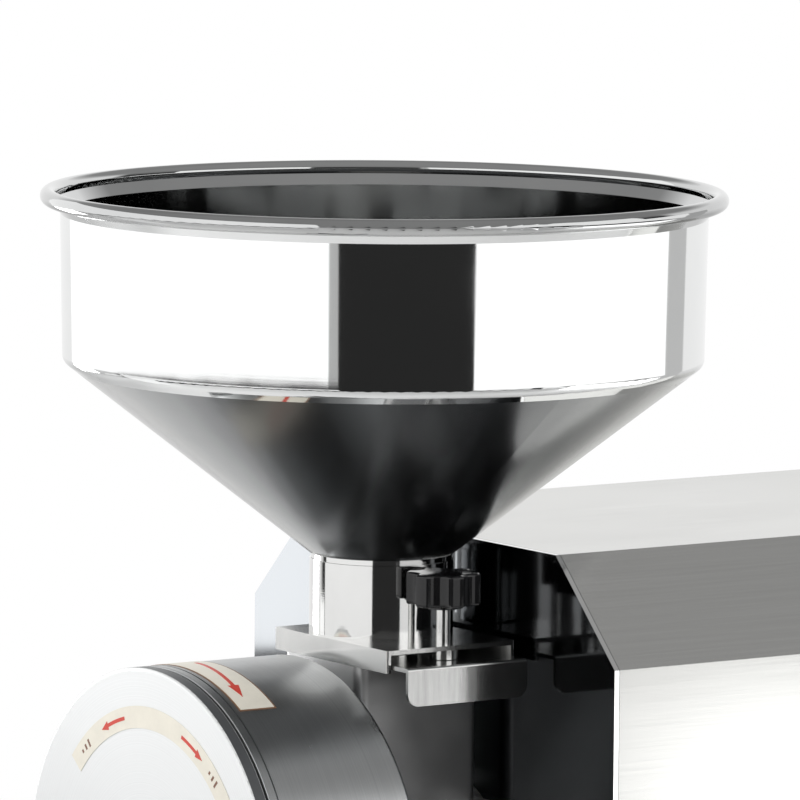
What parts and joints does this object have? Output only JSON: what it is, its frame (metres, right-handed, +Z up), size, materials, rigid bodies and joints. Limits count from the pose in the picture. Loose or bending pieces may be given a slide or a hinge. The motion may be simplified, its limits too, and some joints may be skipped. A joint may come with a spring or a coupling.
{
  "type": "electric grain mill",
  "caption": "Electric grain mill: steel hopper on a slide gate, round grinding head with adjusting cap, motor case with sloping shoulders.",
  "frame": {"origin": "bottom centre of the bounding box, on the bench", "axes": "+Z up, longest; -Y towards the operator, where the grinding head is; X across, shortest"},
  "size_m": [0.3856, 0.635, 0.7215],
  "materials": {
    "adjusting_cap": "fine turned stainless with a bright edge",
    "auger": "plain steel",
    "base_plate": "grey powder coat",
    "base_screws": "plain steel",
    "bearing_balls": "plain steel",
    "bearing_inner": "plain steel",
    "bearing_outer": "plain steel",
    "bulkhead": "grey primer",
    "bulkhead_bolts": "plain steel",
    "burr_holder": "plain steel",
    "burr_nut": "plain steel",
    "burr_screws": "plain steel",
    "button_bezels": "bright turned metal",
    "cable_gland": "black nylon",
    "cap_grips": "black moulded plastic",
    "capacitor_straps": "zinc plated strip",
    "capacitors": "drawn aluminium can",
    "case_shell": "satin stainless, light grey",
    "chamber": "fine turned stainless, ground round",
    "chamber_screws": "plain steel",
    "chute_bolts": "plain steel",
    "fan_cowl": "grey enamel sheet",
    "feed_housing": "bead-blasted stainless casting",
    "feed_throat": "bead-blasted stainless casting",
    "fixed_burr": "hard cast iron",
    "foot_bolts": "plain steel",
    "front_plate": "dark mirror-polished stainless",
    "gate_cover": "bright satin stainless",
    "gate_cover_screws": "plain steel",
    "gate_knob": "glossy black moulded plastic",
    "gate_neck": "bright satin stainless",
    "gate_slide": "polished stainless sheet",
    "gate_stud": "bright threaded stud",
    "gland_nut": "black nylon",
    "grip_studs": "plain steel",
    "hopper": "mirror-polished spun stainless",
    "hopper_cone": "mirror-polished spun stainless",
    "hopper_spigot": "mirror-polished spun stainless",
    "housing_bolts": "plain steel",
    "main_shaft": "plain steel",
    "motor_bolts": "plain steel",
    "motor_fan": "black moulded fan",
    "motor_flange": "machined casting",
    "motor_frame": "grey enamel on a finned casting",
    "motor_rear_shield": "machined casting",
    "outlet_chute": "satin stainless",
    "rear_panel": "satin light grey",
    "rotating_burr": "hard cast iron",
    "rotor_core": "laminated steel",
    "rubber_feet": "black rubber",
    "shaft_seal": "black rubber",
    "start_button": "green moulded plastic",
    "stator_core": "laminated steel",
    "stator_windings": "varnished copper",
    "stop_button": "red moulded plastic",
    "switch_box": "black moulded plastic",
    "thrust_screw": "plain steel"
  },
  "bodies": {
    "housing": {"base_plate": "base_plate", "base_screws": "base_screws", "bearing_outer": "bearing_outer", "bulkhead": "bulkhead", "bulkhead_bolts": "bulkhead_bolts", "button_bezels": "button_bezels", "cable_gland": "cable_gland", "capacitor_straps": "capacitor_straps", "capacitors": "capacitors", "case_shell": "case_shell", "chamber": "chamber", "chamber_screws": "chamber_screws", "chute_bolts": "chute_bolts", "fan_cowl": "fan_cowl", "feed_housing": "feed_housing", "feed_throat": "feed_throat", "foot_bolts": "foot_bolts", "front_plate": "front_plate", "gate_cover": "gate_cover", "gate_cover_screws": "gate_cover_screws", "gate_neck": "gate_neck", "gland_nut": "gland_nut", "housing_bolts": "housing_bolts", "motor_bolts": "motor_bolts", "motor_flange": "motor_flange", "motor_frame": "motor_frame", "motor_rear_shield": "motor_rear_shield", "outlet_chute": "outlet_chute", "rear_panel": "rear_panel", "rubber_feet": "rubber_feet", "shaft_seal": "shaft_seal", "stator_core": "stator_core", "stator_windings": "stator_windings", "switch_box": "switch_box"},
    "hopper": {"hopper": "hopper", "hopper_cone": "hopper_cone", "hopper_spigot": "hopper_spigot"},
    "slide": {"gate_slide": "gate_slide"},
    "stud": {"gate_stud": "gate_stud"},
    "knob": {"gate_knob": "gate_knob"},
    "holder": {"burr_holder": "burr_holder", "fixed_burr": "fixed_burr", "burr_screws": "burr_screws"},
    "cap": {"adjusting_cap": "adjusting_cap", "thrust_screw": "thrust_screw", "cap_grips": "cap_grips", "grip_studs": "grip_studs"},
    "shaft": {"main_shaft": "main_shaft", "auger": "auger", "rotating_burr": "rotating_burr", "burr_nut": "burr_nut", "rotor_core": "rotor_core", "motor_fan": "motor_fan", "bearing_inner": "bearing_inner"},
    "balls": {"bearing_balls": "bearing_balls"},
    "start": {"start_button": "start_button"},
    "stop": {"stop_button": "stop_button"}
  },
  "joints": [
    {"name": "hopper_lift", "type": "slide", "parent": "housing", "child": "hopper", "axis": [0, 0, 1], "range_m": [0, 0.08]},
    {"name": "gate_slide_pull", "type": "slide", "parent": "housing", "child": "slide", "axis": [1, 0, 0], "range_m": [-0.012, 0.056]},
    {"name": "gate_stud_lift", "type": "slide", "parent": "housing", "child": "stud", "axis": [0, 0, 1], "range_m": [0, 0.0025]},
    {"name": "gate_knob_turn", "type": "hinge", "parent": "stud", "child": "knob", "pos_m": [0.06688, -0.1305, 0.49], "axis": [0, 0, 1], "range_deg": [0, 720]},
    {"name": "burr_advance", "type": "slide", "parent": "housing", "child": "holder", "axis": [0, -1, 0], "range_m": [-0.00105, 0.00205]},
    {"name": "cap_turn", "type": "hinge", "parent": "holder", "child": "cap", "pos_m": [0.00688, -0.2705, 0.3488], "axis": [0, -1, 0], "range_deg": [-180, 360]},
    {"name": "shaft_spin", "type": "hinge", "parent": "housing", "child": "shaft", "pos_m": [0.00688, -0.1305, 0.3488], "axis": [0, 1, 0], "continuous": true},
    {"name": "ball_orbit", "type": "hinge", "parent": "housing", "child": "balls", "pos_m": [0.00688, -0.1305, 0.3488], "axis": [0, 1, 0], "continuous": true},
    {"name": "start_press", "type": "slide", "parent": "housing", "child": "start", "axis": [0, 1, 0], "range_m": [0, 0.003], "stiffness_N_per_m": 300, "springref_m": -0.001},
    {"name": "stop_press", "type": "slide", "parent": "housing", "child": "stop", "axis": [0, 1, 0], "range_m": [0, 0.003], "stiffness_N_per_m": 300, "springref_m": -0.001}
  ],
  "couplings": [
    {"joint": "gate_knob_turn", "follows": "gate_stud_lift", "rad_per_m": 5026.5},
    {"joint": "burr_advance", "follows": "cap_turn", "m_per_rad": 0.00031831},
    {"joint": "ball_orbit", "follows": "shaft_spin", "ratio": 0.4}
  ]
}
